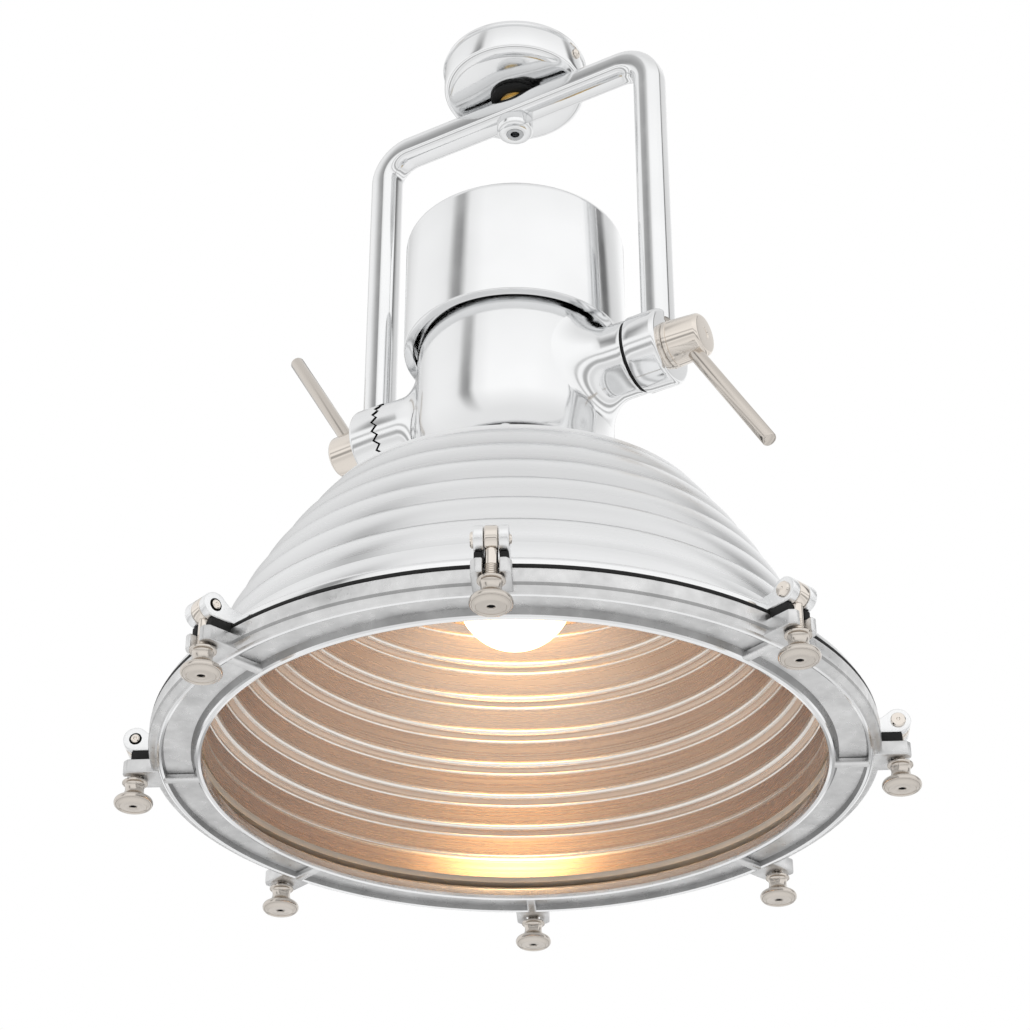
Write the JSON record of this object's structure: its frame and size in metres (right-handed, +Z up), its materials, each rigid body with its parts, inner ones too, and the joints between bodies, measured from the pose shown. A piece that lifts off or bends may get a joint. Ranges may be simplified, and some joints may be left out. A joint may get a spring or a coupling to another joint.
{
  "type": "pendant lamp",
  "caption": "Polished cargo-style pendant lamp: stepped shade with bolted glass bezel, hung by clamped trunnions in a swivel yoke.",
  "frame": {"origin": "centre of the ceiling plate's upper face, on the lamp's vertical axis", "axes": "+Z up, out of the ceiling plate towards the ceiling; +X along the tilt axis to the side with the plain joint"},
  "size_m": [0.511, 0.511, 0.6328],
  "materials": {
    "polished": "mirror-polished nickel on cast and spun metal",
    "shade_metal": "spun sheet, satin polish with fine circular lines",
    "cast_metal": "cast, satin and slightly grained",
    "plain_steel": "plain zinc-plated steel",
    "warm_nickel": "polished nickel with a warm tone",
    "black_rubber": "black rubber",
    "pale_rubber": "pale silicone rubber",
    "brass": "turned brass",
    "white_moulding": "white heat-proof moulding",
    "bulb_glass": "frosted bulb glass",
    "clear_glass": "clear flat glass"
  },
  "bodies": {
    "ceiling_fitting": {"ceiling_plate": "plain_steel", "canopy": "polished", "canopy_screws": "warm_nickel", "hanger_stem": "plain_steel", "stem_nut": "polished", "swivel_washer": "black_rubber", "terminal_block": "white_moulding", "terminal_screws": "brass"},
    "yoke": {"yoke": "polished", "yoke_bush": "brass"},
    "head": {"neck_casting": "polished", "top_cap": "polished", "cap_gasket": "black_rubber", "gland_body": "brass", "gland_seal": "black_rubber", "gland_nut": "brass", "left_stud": "plain_steel", "right_stud": "plain_steel", "friction_washer": "black_rubber", "holder_plate": "plain_steel", "holder_screws": "warm_nickel", "lampholder": "white_moulding", "holder_sleeve": "brass", "holder_contact": "brass", "bulb_base": "warm_nickel", "bulb_glass": "bulb_glass", "flange_gasket": "black_rubber", "flange_rivets": "polished", "shade": "shade_metal", "rim_ring": "polished", "rim_gasket": "black_rubber", "pivot_pins": "warm_nickel", "glass_gasket": "pale_rubber", "lamp_glass": "clear_glass", "bezel_ring": "cast_metal"},
    "left_clamp": {"left_clamp_nut": "warm_nickel", "left_clamp_lever": "warm_nickel"},
    "right_clamp": {"right_clamp_nut": "warm_nickel", "right_clamp_lever": "warm_nickel"},
    "bolt_1": {"eye_bolt_1": "warm_nickel"},
    "nut_1": {"thumb_nut_1": "warm_nickel"},
    "bolt_2": {"eye_bolt_2": "warm_nickel"},
    "nut_2": {"thumb_nut_2": "warm_nickel"},
    "bolt_3": {"eye_bolt_3": "warm_nickel"},
    "nut_3": {"thumb_nut_3": "warm_nickel"},
    "bolt_4": {"eye_bolt_4": "warm_nickel"},
    "nut_4": {"thumb_nut_4": "warm_nickel"},
    "bolt_5": {"eye_bolt_5": "warm_nickel"},
    "nut_5": {"thumb_nut_5": "warm_nickel"},
    "bolt_6": {"eye_bolt_6": "warm_nickel"},
    "nut_6": {"thumb_nut_6": "warm_nickel"},
    "bolt_7": {"eye_bolt_7": "warm_nickel"},
    "nut_7": {"thumb_nut_7": "warm_nickel"},
    "bolt_8": {"eye_bolt_8": "warm_nickel"},
    "nut_8": {"thumb_nut_8": "warm_nickel"}
  },
  "joints": [
    {"name": "yoke_swivel", "type": "hinge", "parent": "ceiling_fitting", "child": "yoke", "pos_m": [0, 0, 0], "axis": [0, 0, 1], "range_deg": [-165, 165]},
    {"name": "head_tilt", "type": "hinge", "parent": "yoke", "child": "head", "pos_m": [0, 0, -0.314], "axis": [1, 0, 0], "range_deg": [-90, 90]},
    {"name": "left_clamp_turn", "type": "hinge", "parent": "head", "child": "left_clamp", "pos_m": [-0.13, 0, -0.314], "axis": [-1, 0, 0], "continuous": true},
    {"name": "right_clamp_turn", "type": "hinge", "parent": "head", "child": "right_clamp", "pos_m": [0.13, 0, -0.314], "axis": [1, 0, 0], "continuous": true},
    {"name": "bolt_1_swing", "type": "hinge", "parent": "head", "child": "bolt_1", "pos_m": [0.2225, 0.11831, -0.586], "axis": [0.4695, -0.8829, 0], "range_deg": [0, 105]},
    {"name": "nut_1_spin", "type": "hinge", "parent": "bolt_1", "child": "nut_1", "pos_m": [0.2225, 0.11831, -0.586], "axis": [0, 0, 1], "continuous": true},
    {"name": "bolt_2_swing", "type": "hinge", "parent": "head", "child": "bolt_2", "pos_m": [0.07368, 0.24099, -0.586], "axis": [0.9563, -0.2924, 0], "range_deg": [0, 105]},
    {"name": "nut_2_spin", "type": "hinge", "parent": "bolt_2", "child": "nut_2", "pos_m": [0.07368, 0.24099, -0.586], "axis": [0, 0, 1], "continuous": true},
    {"name": "bolt_3_swing", "type": "hinge", "parent": "head", "child": "bolt_3", "pos_m": [-0.11831, 0.2225, -0.586], "axis": [0.8829, 0.4695, 0], "range_deg": [0, 105]},
    {"name": "nut_3_spin", "type": "hinge", "parent": "bolt_3", "child": "nut_3", "pos_m": [-0.11831, 0.2225, -0.586], "axis": [0, 0, 1], "continuous": true},
    {"name": "bolt_4_swing", "type": "hinge", "parent": "head", "child": "bolt_4", "pos_m": [-0.24099, 0.07368, -0.586], "axis": [0.2924, 0.9563, 0], "range_deg": [0, 105]},
    {"name": "nut_4_spin", "type": "hinge", "parent": "bolt_4", "child": "nut_4", "pos_m": [-0.24099, 0.07368, -0.586], "axis": [0, 0, 1], "continuous": true},
    {"name": "bolt_5_swing", "type": "hinge", "parent": "head", "child": "bolt_5", "pos_m": [-0.2225, -0.11831, -0.586], "axis": [-0.4695, 0.8829, 0], "range_deg": [0, 105]},
    {"name": "nut_5_spin", "type": "hinge", "parent": "bolt_5", "child": "nut_5", "pos_m": [-0.2225, -0.11831, -0.586], "axis": [0, 0, 1], "continuous": true},
    {"name": "bolt_6_swing", "type": "hinge", "parent": "head", "child": "bolt_6", "pos_m": [-0.07368, -0.24099, -0.586], "axis": [-0.9563, 0.2924, 0], "range_deg": [0, 105]},
    {"name": "nut_6_spin", "type": "hinge", "parent": "bolt_6", "child": "nut_6", "pos_m": [-0.07368, -0.24099, -0.586], "axis": [0, 0, 1], "continuous": true},
    {"name": "bolt_7_swing", "type": "hinge", "parent": "head", "child": "bolt_7", "pos_m": [0.11831, -0.2225, -0.586], "axis": [-0.8829, -0.4695, 0], "range_deg": [0, 105]},
    {"name": "nut_7_spin", "type": "hinge", "parent": "bolt_7", "child": "nut_7", "pos_m": [0.11831, -0.2225, -0.586], "axis": [0, 0, 1], "continuous": true},
    {"name": "bolt_8_swing", "type": "hinge", "parent": "head", "child": "bolt_8", "pos_m": [0.24099, -0.07368, -0.586], "axis": [-0.2924, -0.9563, 0], "range_deg": [0, 105]},
    {"name": "nut_8_spin", "type": "hinge", "parent": "bolt_8", "child": "nut_8", "pos_m": [0.24099, -0.07368, -0.586], "axis": [0, 0, 1], "continuous": true}
  ]
}
